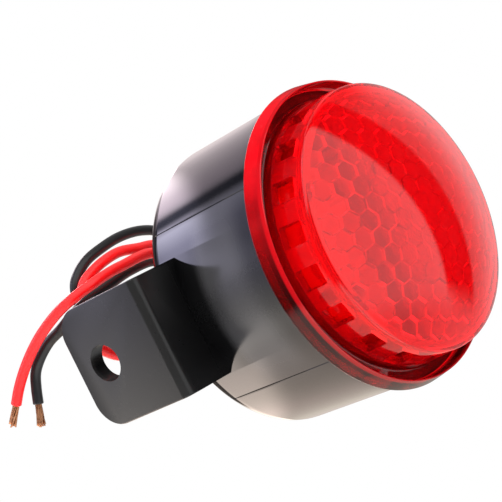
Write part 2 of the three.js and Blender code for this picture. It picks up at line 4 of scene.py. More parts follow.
import bmesh
import bpy
from mathutils import Matrix, Vector
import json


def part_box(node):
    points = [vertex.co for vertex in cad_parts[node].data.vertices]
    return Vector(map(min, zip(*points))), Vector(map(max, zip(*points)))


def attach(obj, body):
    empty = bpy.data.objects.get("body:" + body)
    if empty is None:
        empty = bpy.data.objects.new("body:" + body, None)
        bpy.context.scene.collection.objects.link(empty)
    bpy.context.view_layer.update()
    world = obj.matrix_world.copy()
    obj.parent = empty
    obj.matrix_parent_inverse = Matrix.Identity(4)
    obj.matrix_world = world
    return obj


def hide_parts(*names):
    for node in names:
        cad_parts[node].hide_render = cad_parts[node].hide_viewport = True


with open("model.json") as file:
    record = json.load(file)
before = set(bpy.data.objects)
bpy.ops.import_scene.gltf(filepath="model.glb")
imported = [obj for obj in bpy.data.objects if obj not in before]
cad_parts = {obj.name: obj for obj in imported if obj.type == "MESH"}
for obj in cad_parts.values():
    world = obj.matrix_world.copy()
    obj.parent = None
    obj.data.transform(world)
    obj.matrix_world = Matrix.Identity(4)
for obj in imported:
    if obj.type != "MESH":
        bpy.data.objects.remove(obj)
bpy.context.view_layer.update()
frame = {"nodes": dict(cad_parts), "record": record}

MM = 0.001
scene = bpy.context.scene


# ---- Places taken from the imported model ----
lens_low, lens_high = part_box("lens")
AXIS_X = (lens_low.x + lens_high.x) / 2 / MM  # the lamp's axis, parallel to Y
BAND_RADIUS = (lens_high.z - lens_low.z) / 2 / MM
DOME_TOP = 21.1  # from the lens's seat to the dome's top
SEAT_Y = lens_low.y / MM + DOME_TOP  # where the lens band meets the barrel
AXIS = Vector((0.0, 1.0, 0.0))
CENTRE = Vector((AXIS_X * MM, SEAT_Y * MM, 0.0))

GAP = 0.3
RIM_TOP = 4.5
RIM_INNER = 34.8
RIM_OUTER = 35.2
TROUGH_OUTER = 34.6
TROUGH_FLOOR = 1.5
SKIRT_RADIUS = 31.3
SKIRT_FOOT = 31.65  # the skirt widens a little toward its foot
SKIRT_HEAD = 31.1
SKIRT_INNER = 29.5
SPIGOT_END = -4.0
WEB_TOP = SPIGOT_END + 1.2  # of the web between the skirt and the sleeve
DOME_EDGE = 12.8
DOME_RISE = 8.3
INNER_EDGE = 11.2
INNER_RISE = 7.7
WINDOWS = 20
WINDOW_CENTRE = -4.8  # degrees, one window's middle
WINDOW_LOW = 4.0
WINDOW_HIGH = 10.2
COLUMNS_PER_WINDOW = 8

REAR = -35.3
BARREL_FRONT = 34.4
BARREL_REAR = 33.6
BARREL_FILLET = 8.0
BARREL_MOUTH = 0.25  # rounding of the barrel's front edge
SEAM_ANGLE = 36.5
SEAM_HALF = 0.2  # degrees, half of a mould line's width
SEAM_DEPTH = 0.16
BORE_RADIUS = 30.0
LEDGE = -5.3
FLOOR = -31.0
SERVICE_RADIUS = 17.5
COVER_SEAT = -32.5
COVER_POCKET_RADIUS = 24.5
EAR_WIDTH = 28.0
EAR_THICK = 4.0
EAR_REACH = 46.0
EAR_END = -52.4
EAR_CORNER = 6.5
EAR_HOLE_RADIUS = 4.25
EAR_HOLE = -43.6
NECK_FRONT = -25.4
NECK_THICK = 4.2
NECK_ROOT = 24.0  # inside the barrel's wall
BEND_RADIUS = 2.0
NECK_BACK_ROUND = 1.2
EDGE_ROUND = 0.35


# ---- Camera ----
CAMERA_PLACE = Vector((-0.3046, -0.3043, 0.0121))
CAMERA_RIGHT = Vector((0.5813, -0.6812, -0.4450))
CAMERA_UP = Vector((0.2972, -0.3313, 0.8955))

camera_data = bpy.data.cameras.new("camera")
camera_data.lens = 143.2
camera_data.sensor_width = 36.0
camera_data.clip_start = 0.01
camera = bpy.data.objects.new("camera", camera_data)
scene.collection.objects.link(camera)
right = CAMERA_RIGHT.normalized()
back = right.cross(CAMERA_UP).normalized()
up = back.cross(right)
turn = Matrix((right, up, back)).transposed().to_4x4()
camera.matrix_world = Matrix.Translation(CAMERA_PLACE) @ turn
scene.camera = camera


# ---- Free leads, in millimetres in the lamp's own axes (toward the ear, forward, across) ----
LEAD_DIAMETER = 2.5
LEAD_SIDES = 24
STRANDS = 19
STRAND_DIAMETER = 0.34
STRAND_SPACING = 0.32
STRAND_SIDES = 8
STRAND_ROOT = 0.8  # how far the strands start inside the lead
BLACK_ROUTE = [
    (0, -38.3, 2.2), (-0.3, -41.7, 2.4), (-3.3, -46.2, 4.2), (-8.4, -50, 7.4),
    (-11.5, -54.5, 11.5), (-9, -57.5, 18), (-3.5, -58.5, 21.9), (2.2, -58.5, 23.7),
    (9, -58.5, 24.3), (16.1, -58.5, 23.7), (21.9, -59, 22.5), (25.3, -59.8, 20.6),
    (27.5, -60.3, 18.4), (28.5, -60.8, 14), (27.4, -60.8, 9), (23.8, -60, 4.8),
    (16.3, -60, 1.8), (8.1, -60, 0.9), (1.2, -59.6, 2.5), (-2, -58, 6.5),
    (-0.1, -55.9, 11.3), (6.9, -53.5, 15.4), (16.8, -52.5, 16), (26.5, -52, 15),
    (34.2, -52.5, 13.9), (37, -55.5, 12.6), (37.7, -60.5, 10.8), (38.4, -64.8, 9.5),
    (39.6, -68.6, 7.1), (40.2, -71.5, 4.5), (40.8, -73, 1.3), (41.5, -74, -2.2),
]
RED_ROUTE = [
    (0, -38.3, -2.2), (0, -42.5, -2.2), (-0.6, -46.4, -1.6), (-2.6, -50.6, 2.6),
    (-4.3, -53.6, 9.3), (-2, -54.8, 15.5), (2.8, -55, 18.8), (8.5, -55, 19.9),
    (14.9, -55, 21), (20.7, -55, 20.6), (25.3, -55.5, 19.5), (28.7, -56, 18),
    (31.4, -56.5, 14.8), (34.2, -56, 10), (34.8, -55.5, 4.8), (31.2, -55.5, 0.6),
    (25.1, -55.5, -1.9), (17.8, -55, -2.5), (11, -54, -1.2), (6.2, -52.5, 2.4),
    (5.3, -50.5, 7.2), (6.3, -49.5, 12.4), (10.4, -49, 17), (23, -48.5, 17.7),
    (28.3, -48.5, 17.5), (33.4, -49, 16.9), (36.7, -51.5, 16.2), (38.8, -56, 15),
    (40.2, -60, 13.4), (41.4, -65, 10.9), (42.7, -70.5, 7.1), (43.7, -75, 3.1),
    (44.6, -77.5, -0.1),
]


def placed(point):
    """A point in the lamp's own axes, as a place in the row's frame."""
    toward_ear, forward, across = point
    return Vector(((AXIS_X - toward_ear) * MM, (SEAT_Y - forward) * MM, across * MM))


def smooth_route(points, steps=8):
    """The centripetal curve through the points, as a dense list of places."""
    knots = [Vector(point) for point in points]
    knots = [knots[0] * 2 - knots[1]] + knots + [knots[-1] * 2 - knots[-2]]
    places = []
    for i in range(1, len(knots) - 2):
        p0, p1, p2, p3 = knots[i - 1 : i + 3]
        t1 = math.sqrt((p1 - p0).length)
        t2 = t1 + math.sqrt((p2 - p1).length)
        t3 = t2 + math.sqrt((p3 - p2).length)
        for step in range(steps):
            t = t1 + (t2 - t1) * step / steps
            a1 = p0 * ((t1 - t) / t1) + p1 * (t / t1)
            a2 = p1 * ((t2 - t) / (t2 - t1)) + p2 * ((t - t1) / (t2 - t1))
            a3 = p2 * ((t3 - t) / (t3 - t2)) + p3 * ((t - t2) / (t3 - t2))
            b1 = a1 * ((t2 - t) / t2) + a2 * (t / t2)
            b2 = a2 * ((t3 - t) / (t3 - t1)) + a3 * ((t - t1) / (t3 - t1))
            places.append(placed(b1 * ((t2 - t) / (t2 - t1)) + b2 * ((t - t1) / (t2 - t1))))
    places.append(placed(knots[-2]))
    return places


def finished(name, bm, body="lamp", sharp=35.0, flat=lambda face: False):
    """The bmesh as a smooth-shaded piece on a body, with crisp edges kept crisp."""
    for face in bm.faces:
        face.smooth = not flat(face)
    for edge in bm.edges:
        edge.smooth = edge.calc_face_angle(0.0) < math.radians(sharp)
    mesh = bpy.data.meshes.new(name)
    bm.to_mesh(mesh)
    bm.free()
    piece = bpy.data.objects.new(name, mesh)
    scene.collection.objects.link(piece)
    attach(piece, body)
    return piece


def add_wire(bm, line, diameter, sides):
    """Adds a closed round wire along a list of places, with a small bevel at each end."""
    bevel = diameter * 0.06
    first = line[0] + (line[1] - line[0]).normalized() * bevel
    last = line[-1] + (line[-2] - line[-1]).normalized() * bevel
    line = [line[0], first, *line[1:-1], last, line[-1]]
    end = len(line) - 1
    across = (line[1] - line[0]).orthogonal()
    rings = []
    for index, place in enumerate(line):
        ahead = (line[min(index + 1, end)] - line[max(index - 1, 0)]).normalized()
        across = (across - ahead * across.dot(ahead)).normalized()
        over = ahead.cross(across)
        radius = diameter / 2 - (bevel if index in (0, end) else 0.0)
        ring = []
        for side in range(sides):
            angle = math.tau * side / sides
            spoke = across * math.cos(angle) + over * math.sin(angle)
            ring.append(bm.verts.new(place + spoke * radius))
        rings.append(ring)
    for near, far in zip(rings, rings[1:]):
        for side in range(sides):
            following = (side + 1) % sides
            bm.faces.new((near[side], near[following], far[following], far[side]))
    bm.faces.new(rings[0][::-1])
    bm.faces.new(rings[-1])


def wire_piece(name, lines, diameter, sides):
    """A piece made of one or more round wires along lists of places."""
    bm = bmesh.new()
    for line in lines:
        add_wire(bm, line, diameter, sides)
    return finished(name, bm)


def bared_strands(name, route, seed):
    """Fine copper wires fanning a little past the cut end of the insulation."""
    draw = random.Random(seed)
    end = route[-1]
    ahead = (route[-1] - route[-4]).normalized()
    side = ahead.cross(Vector((0.3, 0.2, 1.0))).normalized()
    over = ahead.cross(side)
    steps = 8
    lines = []
    for number in range(STRANDS):
        ring = 0 if number == 0 else (1 if number < 7 else 2)
        angle = number * math.tau / (6 if ring == 1 else 12) + draw.uniform(-0.15, 0.15)
        radius = ring * STRAND_SPACING * MM
        spread = draw.uniform(1.0, 1.55)
        length = draw.uniform(5.4, 6.2)
        line = []
        for step in range(steps + 1):
            along = step / steps
            twist = angle + 1.3 * along
            out = radius * (1 + (spread - 1) * along**2)
            around = side * math.cos(twist) + over * math.sin(twist)
            line.append(end + ahead * (along * length - STRAND_ROOT) * MM + around * out)
        lines.append(line)
    return wire_piece(name, lines, STRAND_DIAMETER * MM, STRAND_SIDES)


def free_lead(colour, points, seed):
    """An insulated lead and its bared strands, built in place of the imported ones, which are hidden.
    """
    route = smooth_route(points)
    lead = wire_piece(colour + "_lead_insulation", [route], LEAD_DIAMETER * MM, LEAD_SIDES)
    strands = bared_strands(colour + "_lead_copper", route, seed)
    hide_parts(colour + "_lead")
    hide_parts(colour + "_lead_strands")
    return lead, strands


black_lead, black_strands = free_lead("black", BLACK_ROUTE, 5)
red_lead, red_strands = free_lead("red", RED_ROUTE, 9)


# ---- Surroundings ----
DEGREE = 180 / math.pi


class Value:
    """One number, colour or vector in a node tree; arithmetic on it adds Math nodes."""

    def __init__(self, tree, socket):
        self.tree = tree
        self.socket = socket

    def _do(self, operation, *terms):
        inputs = {index: term for index, term in enumerate(terms)}
        return self.tree.node("ShaderNodeMath", {"operation": operation}, inputs)

    def __add__(self, other):
        return self._do("ADD", self, other)

    def __radd__(self, other):
        return self._do("ADD", other, self)

    def __sub__(self, other):
        return self._do("SUBTRACT", self, other)

    def __rsub__(self, other):
        return self._do("SUBTRACT", other, self)

    def __mul__(self, other):
        return self._do("MULTIPLY", self, other)

    def __rmul__(self, other):
        return self._do("MULTIPLY", other, self)

    def __truediv__(self, other):
        return self._do("DIVIDE", self, other)

    def __rtruediv__(self, other):
        return self._do("DIVIDE", other, self)

    def __pow__(self, other):
        return self._do("POWER", self, other)

    def __neg__(self):
        return self._do("MULTIPLY", self, -1.0)

    def __abs__(self):
        return self._do("ABSOLUTE", self)

    def clamped(self):
        return self.tree.node("ShaderNodeClamp", {}, {0: self})

    def least(self, other):
        return self._do("MINIMUM", self, other)

    def most(self, other):
        return self._do("MAXIMUM", self, other)

    def rise(self, start, end, low=0.0, high=1.0):
        """Smoothly from low to high as the value goes from start to end."""
        settings = {"interpolation_type": "SMOOTHSTEP"}
        inputs = {"Value": self, "From Min": start, "From Max": end}
        inputs.update({"To Min": low, "To Max": high})
        return self.tree.node("ShaderNodeMapRange", settings, inputs)


class Tree:
    """A node tree that is written as expressions."""

    def __init__(self, tree):
        self.tree = tree
        tree.nodes.clear()

    def node(self, kind, settings=None, inputs=None, output=0):
        made = self.tree.nodes.new(kind)
        for key, setting in (settings or {}).items():
            if key == "stops":
                self._set_stops(made, setting)
            else:
                setattr(made, key, setting)
        for key, value in (inputs or {}).items():
            socket = made.inputs[key]
            if isinstance(value, Value):
                self.tree.links.new(value.socket, socket)
            else:
                socket.default_value = value
        if not made.outputs:
            return made
        if isinstance(output, tuple):
            return [Value(self, made.outputs[index]) for index in output]
        return Value(self, made.outputs[output])

    def _set_stops(self, made, stops):
        ramp = made.color_ramp
        while len(ramp.elements) > 1:
            ramp.elements.remove(ramp.elements[-1])
        ramp.elements[0].position = stops[0][0]
        ramp.elements[0].color = (*stops[0][1], 1.0)
        for position, colour in stops[1:]:
            ramp.elements.new(position).color = (*colour, 1.0)

    def parts(self, vector):
        """The X, Y and Z of a vector."""
        return self.node("ShaderNodeSeparateXYZ", {}, {0: vector}, output=(0, 1, 2))

    def angle(self, across, along):
        """The turn from along toward across, in degrees."""
        settings = {"operation": "ARCTAN2"}
        return self.node("ShaderNodeMath", settings, {0: across, 1: along}) * DEGREE

    def elevation(self, height):
        """The angle above the ground of a direction whose Z is given, in degrees."""
        return self.node("ShaderNodeMath", {"operation": "ARCSINE"}, {0: height}) * DEGREE

    def blend(self, factor, first, second):
        settings = {"data_type": "RGBA", "clamp_factor": True}
        return self.node("ShaderNodeMix", settings, {0: factor, 6: first, 7: second}, output=2)


WHITE = (1.0, 1.0, 1.0, 1.0)
MATT_LIGHT = 2.3  # even light on whatever does not mirror
LIGHT_THROUGH = 4.4  # even light that comes in through the lens

scene.view_settings.view_transform = "Standard"
scene.view_settings.look = "None"
scene.view_settings.exposure = 0.0
scene.view_settings.gamma = 1.0


# What the barrel mirrors from behind the lamp, going round from below, past the ear, to above.
BEHIND_TURNS = (
    (-180, (0.80, 0.70, 0.66)), (-165, (0.90, 0.78, 0.72)), (-147, (1.45, 1.28, 1.10)),
    (-117, (1.90, 1.55, 1.36)), (-93, (2.00, 1.68, 1.46)), (-63, (2.35, 1.98, 1.76)),
    (-30, (2.10, 1.95, 1.80)), (-8, (2.25, 2.15, 2.15)), (8, (1.50, 1.45, 1.85)),
    (30, (0.85, 0.83, 1.10)), (57, (0.95, 0.92, 1.30)), (73, (1.60, 1.55, 2.00)),
    (79, (0.80, 0.75, 0.95)), (83, (0.10, 0.10, 0.15)), (89, (0.10, 0.10, 0.15)),
    (94, (1.05, 0.90, 1.05)), (99, (1.35, 1.12, 1.30)), (123, (1.50, 1.28, 1.38)),
    (153, (1.50, 1.30, 1.33)), (180, (0.80, 0.70, 0.66)),
)
BRIGHTEST = 3.0

# Brightness of the walls, against white as 1, and their edges: degrees of azimuth and elevation.
LEFT_WALL = 1.2
RIGHT_WALL = (0.38, 0.80)  # beside the gap and at its brightest
FAR_RIGHT = 0.35  # share that is left behind the right wall
LOW_WALL = 0.6
HIGH_WALL = 0.16
UNLIT = 0.05
GAP_LEAN = 0.28
GAP_SIDES = (-46.5, -24.5)
GAP_FOOT = (-29.0, -22.0)
GAP_LIGHT = 0.008
VIEWER_SIDE = (-104.0, 143.0)
VIEWER_HEIGHTS = (-24.0, 34.0)

# Rings of directions round the lamp's axis, as the Y part of the direction.
UPPER_STRIP = (0.682, 0.705, 0.73, 0.78)  # starts, full, full, ends
LOWER_STRIP = (0.685, 0.71, 0.80, 0.85)
UPPER_STRIP_GAIN = 3.4
LOWER_STRIP_GAIN = 1.7
DARK_MIDDLE = (0.79, 0.85)
UNLIT_RING = (0.22, 0.622)


def between(value, low, high, soft):
    return value.rise(low - soft, low + soft) * value.rise(high + soft, high - soft)


def strip(value, edges):
    starts, full, still_full, ends = edges
    return value.rise(starts, full) * value.rise(ends, still_full)


def mixed_level(level, share, other):
    return level * (1 - share) + other * share


def front_walls(azimuth, height):
    """Two soft panels with a dark leaning gap, and dimmer walls low down and high up."""
    right_panel = azimuth.rise(-26.0, 4.0, *RIGHT_WALL) * azimuth.rise(2.0, 34.0, 1.0, FAR_RIGHT)
    level = mixed_level(LEFT_WALL, azimuth.rise(-40.0, -30.0), right_panel)
    low_front = between(azimuth, -100.0, 8.0, 8.0) * height.rise(-22.0, -34.0)
    level = mixed_level(level, low_front, LOW_WALL)
    high_front = between(azimuth, -52.0, 4.0, 6.0) * height.rise(22.0, 34.0)
    level = mixed_level(level, high_front, HIGH_WALL)
    gap = between(azimuth + height * GAP_LEAN, *GAP_SIDES, 1.5) * height.rise(*GAP_FOOT)
    return mixed_level(level, gap, GAP_LIGHT)


def walls_behind(y, z):
    """Bright strips near the axis, a dark middle and a ring that stays unlit."""
    upper = strip(y, UPPER_STRIP) * z.rise(0.12, 0.3)
    lower = strip(y, LOWER_STRIP) * z.rise(-0.2, -0.35)
    level = 1 - y.rise(*DARK_MIDDLE) * 0.85 + upper * UPPER_STRIP_GAIN + lower * LOWER_STRIP_GAIN
    return level * (1 - between(y, *UNLIT_RING, 0.012) * z.rise(-0.25, 0.05, 0.62, 0.95))


def studio_surround():
    """Soft pale walls with a dark gap in front and bright strips behind, and plain white light.

    Mirrored rays see the walls, and everything matt or seen through is lit by even white.
    """
    world = bpy.data.worlds.new("studio_surround")
    world.use_nodes = True
    scene.world = world
    tree = Tree(world.node_tree)
    x, y, z = tree.parts(tree.node("ShaderNodeTexCoord", {}, {}, output=0))
    azimuth = tree.angle(y, x)
    height = tree.elevation(z.most(-1.0).least(1.0))
    around = tree.angle(z, -x)

    # The unlit side that the viewer stands on.
    right_of_viewer, left_of_viewer = VIEWER_SIDE
    beside = azimuth.rise(right_of_viewer, right_of_viewer - 12.0)
    beside = (beside + azimuth.rise(left_of_viewer, left_of_viewer + 7.0)).least(1.0)
    beside = beside * between(height, *VIEWER_HEIGHTS, 6.0)
    level = mixed_level(front_walls(azimuth, height), beside, UNLIT)

    stops = [(turn / 360 + 0.5, [part / BRIGHTEST for part in tint]) for turn, tint in BEHIND_TURNS]
    wall = tree.node("ShaderNodeValToRGB", {"stops": stops}, {0: around / 360 + 0.5})
    behind = azimuth.rise(22.0, 40.0) * (1 - beside)
    strength = mixed_level(level, behind, walls_behind(y, z) * BRIGHTEST)
    mirrored = tree.blend(behind, WHITE, wall)

    kinds = ("Is Camera Ray", "Is Transmission Ray", "Is Glossy Ray")
    seen, through, glossy = tree.node("ShaderNodeLightPath", {}, {}, output=kinds)
    mirror = glossy * (1 - through)
    plain = 1.0 * seen + LIGHT_THROUGH * through + MATT_LIGHT * (1 - seen - through).clamped()
    strength = mixed_level(plain, mirror, strength)
    colour = tree.blend(mirror, WHITE, mirrored)
    light = tree.node("ShaderNodeBackground", {}, {"Color": colour, "Strength": strength})
    tree.node("ShaderNodeOutputWorld", {}, {"Surface": light})


studio_surround()


FLOOR_HEIGHT = -0.25  # metres
FLOOR_HALF_SIZE = 0.6


def studio_floor():
    """A pale floor well below the lamp, kept out of its reflections."""
    bm = bmesh.new()
    bmesh.ops.create_grid(bm, x_segments=8, y_segments=8, size=FLOOR_HALF_SIZE)
    bmesh.ops.translate(bm, verts=bm.verts, vec=(AXIS_X * MM, SEAT_Y * MM, FLOOR_HEIGHT))
    mesh = bpy.data.meshes.new("studio_floor")
    bm.to_mesh(mesh)
    bm.free()
    floor = bpy.data.objects.new("studio_floor", mesh)
    scene.collection.objects.link(floor)
    floor.visible_glossy = False
    floor.visible_transmission = False
    return floor


floor = studio_floor()


# ---- Shape helpers ----
SAME_PLACE = 1e-7  # metres, closer points are one


def rounded(corners, arc_steps=4, closed=False):
    """Section points from corners (radius, forward, rounding), with arcs at rounded corners."""
    points = []
    for index, corner in enumerate(corners):
        here = Vector(corner[:2])
        rounding = corner[2] if len(corner) > 2 else 0.0
        at_end = not closed and index in (0, len(corners) - 1)
        if rounding == 0.0 or at_end:
            points.append(tuple(here))
            continue
        before = Vector(corners[index - 1][:2]) - here
        after = Vector(corners[(index + 1) % len(corners)][:2]) - here
        half = before.angle(after) / 2
        reach = min(rounding / math.tan(half), before.length * 0.49, after.length * 0.49)
        start = here + before.normalized() * reach
        end = here + after.normalized() * reach
        middle = (before.normalized() + after.normalized()).normalized()
        centre = here + middle * (reach / math.cos(half))
        spoke = start - centre
        sweep = spoke.angle_signed(end - centre)
        for step in range(arc_steps + 1):
            angle = -sweep * step / arc_steps
            turned_spoke = Matrix.Rotation(angle, 2) @ spoke
            points.append(tuple(centre + turned_spoke))
    return points


def cap_arc(edge_radius, edge_forward, rise, steps, to_radius=None):
    """Points from the axis to the edge of a shallow dome."""
    sphere = (edge_radius**2 + rise**2) / (2 * rise)
    middle = edge_forward + rise - sphere
    last = to_radius or edge_radius
    points = []
    for step in range(steps + 1):
        radius = last * step / steps
        points.append((radius, middle + math.sqrt(sphere**2 - radius**2)))
    return points


def turned_mesh(points, steps, closed, phase=0.0):
    """A bmesh turned about the lamp's axis from (radius, forward) points in millimetres."""
    bm = bmesh.new()
    verts = [bm.verts.new(placed((radius, forward, 0.0))) for radius, forward in points]
    edges = [bm.edges.new(pair) for pair in zip(verts, verts[1:])]
    if closed:
        edges.append(bm.edges.new((verts[-1], verts[0])))
    spun = Matrix.Rotation(math.radians(phase), 3, AXIS)
    bmesh.ops.rotate(bm, verts=verts, cent=CENTRE, matrix=spun)
    bmesh.ops.spin(
        bm, geom=verts + edges, cent=CENTRE, axis=AXIS, angle=math.tau, steps=steps,
        use_merge=True, use_duplicate=False,
    )
    bmesh.ops.remove_doubles(bm, verts=bm.verts, dist=SAME_PLACE)
    bmesh.ops.recalc_face_normals(bm, faces=bm.faces)
    return bm


def combined(base, tool, operation):
    """Adds, cuts or keeps the overlap of two closed bmeshes, and gives back the result."""
    holders = []
    for bm in (base, tool):
        mesh = bpy.data.meshes.new("shaping")
        bm.to_mesh(mesh)
        bm.free()
        holder = bpy.data.objects.new("shaping", mesh)
        scene.collection.objects.link(holder)
        holders.append(holder)
    step = holders[0].modifiers.new("shaping", "BOOLEAN")
    step.operation = operation
    step.solver = "EXACT"
    step.object = holders[1]
    shaped = holders[0].evaluated_get(bpy.context.evaluated_depsgraph_get())
    result = bmesh.new()
    result.from_mesh(shaped.to_mesh())
    shaped.to_mesh_clear()
    for holder in holders:
        mesh = holder.data
        bpy.data.objects.remove(holder)
        bpy.data.meshes.remove(mesh)
    return result


def add_part(whole, part):
    """Adds one bmesh to another and lets it go."""
    mesh = bpy.data.meshes.new("part")
    part.to_mesh(mesh)
    part.free()
    whole.from_mesh(mesh)
    bpy.data.meshes.remove(mesh)


def angle_about_axis(place):
    """Degrees about the lamp's axis, from the ear's side toward +Z."""
    return math.degrees(math.atan2(place.z, CENTRE.x - place.x))


def radius_of(place):
    return math.hypot(place.z, place.x - CENTRE.x) / MM


def forward_of(place):
    return (CENTRE.y - place.y) / MM


# ---- Lens ----
LENSLET_PITCH = 4.3
LENSLET_TURN = 20.0
LENSLET_DRAFT = 0.16
LENSLET_ORIGIN = (2.0, 1.0)
OPTIC_RADIUS = 28.3
OPTIC_RING = 28.9
SLEEVE_RADII = (27.3, 28.3)  # the ring that shields the windows inside
SLEEVE_TOP = 8.6
LENSLET_SMALLEST = 1.8  # mm2, below this a face is a side, not a tread
TREAD_SLOPE = 0.40  # how far a cell leans with the dome


def inner_dome(radius):
    sphere = (SKIRT_INNER**2 + INNER_RISE**2) / (2 * INNER_RISE)
    return INNER_EDGE + INNER_RISE - sphere + math.sqrt(sphere**2 - radius**2)


def lenslet_centres():
    turn_by = Matrix.Rotation(math.radians(LENSLET_TURN), 2)
    reach = int(OPTIC_RADIUS / LENSLET_PITCH) + 3
    centres = []
    for row in range(-reach, reach + 1):
        for column in range(-reach, reach + 1):
            spot = Vector((column + row * 0.5, row * math.sqrt(3) / 2)) * LENSLET_PITCH
            centre = turn_by @ spot + Vector(LENSLET_ORIGIN)
            if centre.length < OPTIC_RADIUS + LENSLET_PITCH:
                centres.append(centre)
    return centres


def add_lenslets(bm):
    """The six-sided optic cells inside the dome, each a flat tread with steep sides."""
    centres = lenslet_centres()
    corner = LENSLET_PITCH / math.sqrt(3)
    cells = bmesh.new()
    for centre in centres:
        place = Matrix.Translation((centre.x, centre.y, 0.0))
        spin_cell = Matrix.Rotation(math.radians(LENSLET_TURN), 4, "Z")
        bmesh.ops.create_circle(
            cells, cap_ends=True, segments=6, radius=corner, matrix=place @ spin_cell
        )
    bmesh.ops.remove_doubles(cells, verts=cells.verts, dist=0.02)
    sides = 80
    for side in range(sides):
        angle = math.tau * side / sides
        outward = Vector((math.cos(angle), math.sin(angle), 0.0))
        geometry = cells.verts[:] + cells.edges[:] + cells.faces[:]
        bmesh.ops.bisect_plane(
            cells, geom=geometry, dist=0.005, plane_co=outward * OPTIC_RADIUS,
            plane_no=outward, clear_outer=True,
        )
    bmesh.ops.inset_individual(
        cells, faces=cells.faces[:], thickness=LENSLET_DRAFT, use_even_offset=True
    )
    heights = {}
    for face in cells.faces:
        if len(face.verts) <= 4 and face.calc_area() <= LENSLET_SMALLEST:
            continue
        middle = face.calc_center_median()
        nearest = min(centres, key=lambda centre: (middle.xy - centre).length)
        reach = min(nearest.length, OPTIC_RADIUS)
        for vert in face.verts:
            leaning = inner_dome(vert.co.xy.length) - inner_dome(reach)
            heights[vert.index] = inner_dome(reach) + TREAD_SLOPE * leaning
    for vert in cells.verts:
        flat = Vector((vert.co.x, vert.co.y))
        forward = heights.get(vert.index, inner_dome(flat.length))
        vert.co = placed((flat.x, forward, flat.y))
    add_part(bm, cells)
    bmesh.ops.bridge_loops(bm, edges=[edge for edge in bm.edges if edge.is_boundary])


WALL_MARGIN = 0.25
LEVEL_MARGIN = 0.05
SIDE_MARGIN = 0.2  # degrees
WINDOW_CORNER = 0.5


def open_windows(bm, inner, outer, low, high, centre_angle):
    """Cuts a row of windows through a ring wall, between whole columns of its faces."""
    pitch = 360.0 / WINDOWS

    def from_window(place):
        return (angle_about_axis(place) - centre_angle + pitch / 2) % pitch - pitch / 2

    def in_wall(place):
        return inner - WALL_MARGIN < radius_of(place) < outer + WALL_MARGIN

    gone = []
    for face in bm.faces:
        middle = face.calc_center_median()
        if low < forward_of(middle) < high and in_wall(middle):
            if abs(from_window(middle)) < pitch / 4:
                gone.append(face)
    bmesh.ops.delete(bm, geom=gone, context="FACES")
    rims = {}
    for edge in bm.edges:
        if edge.is_boundary:
            middle = (edge.verts[0].co + edge.verts[1].co) / 2
            number = round((angle_about_axis(middle) - centre_angle) / pitch) % WINDOWS
            rims.setdefault(number, []).append(edge)
    for edges in rims.values():
        bmesh.ops.bridge_loops(bm, edges=edges)
    corners = []
    for edge in bm.edges:
        a, b = (vert.co for vert in edge.verts)
        through = abs(radius_of(a) - radius_of(b)) > (outer - inner) * 0.8
        level = abs(forward_of(a) - forward_of(b)) < LEVEL_MARGIN
        at_height = min(abs(forward_of(a) - low), abs(forward_of(a) - high)) < LEVEL_MARGIN
        at_side = abs(abs(from_window(a)) - pitch / 4) < SIDE_MARGIN
        if through and level and at_height and at_side and in_wall(a) and in_wall(b):
            corners.append(edge)
    bmesh.ops.bevel(
        bm, geom=corners, affect="EDGES", offset=WINDOW_CORNER * MM,
        offset_type="OFFSET", segments=3, profile=0.5, material=-1,
    )


def skirt_at(forward):
    """The skirt's outer radius, which shrinks evenly from its foot to its head."""
    share = (forward - TROUGH_FLOOR) / (DOME_EDGE - TROUGH_FLOOR)
    return SKIRT_FOOT + (SKIRT_HEAD - SKIRT_FOOT) * share


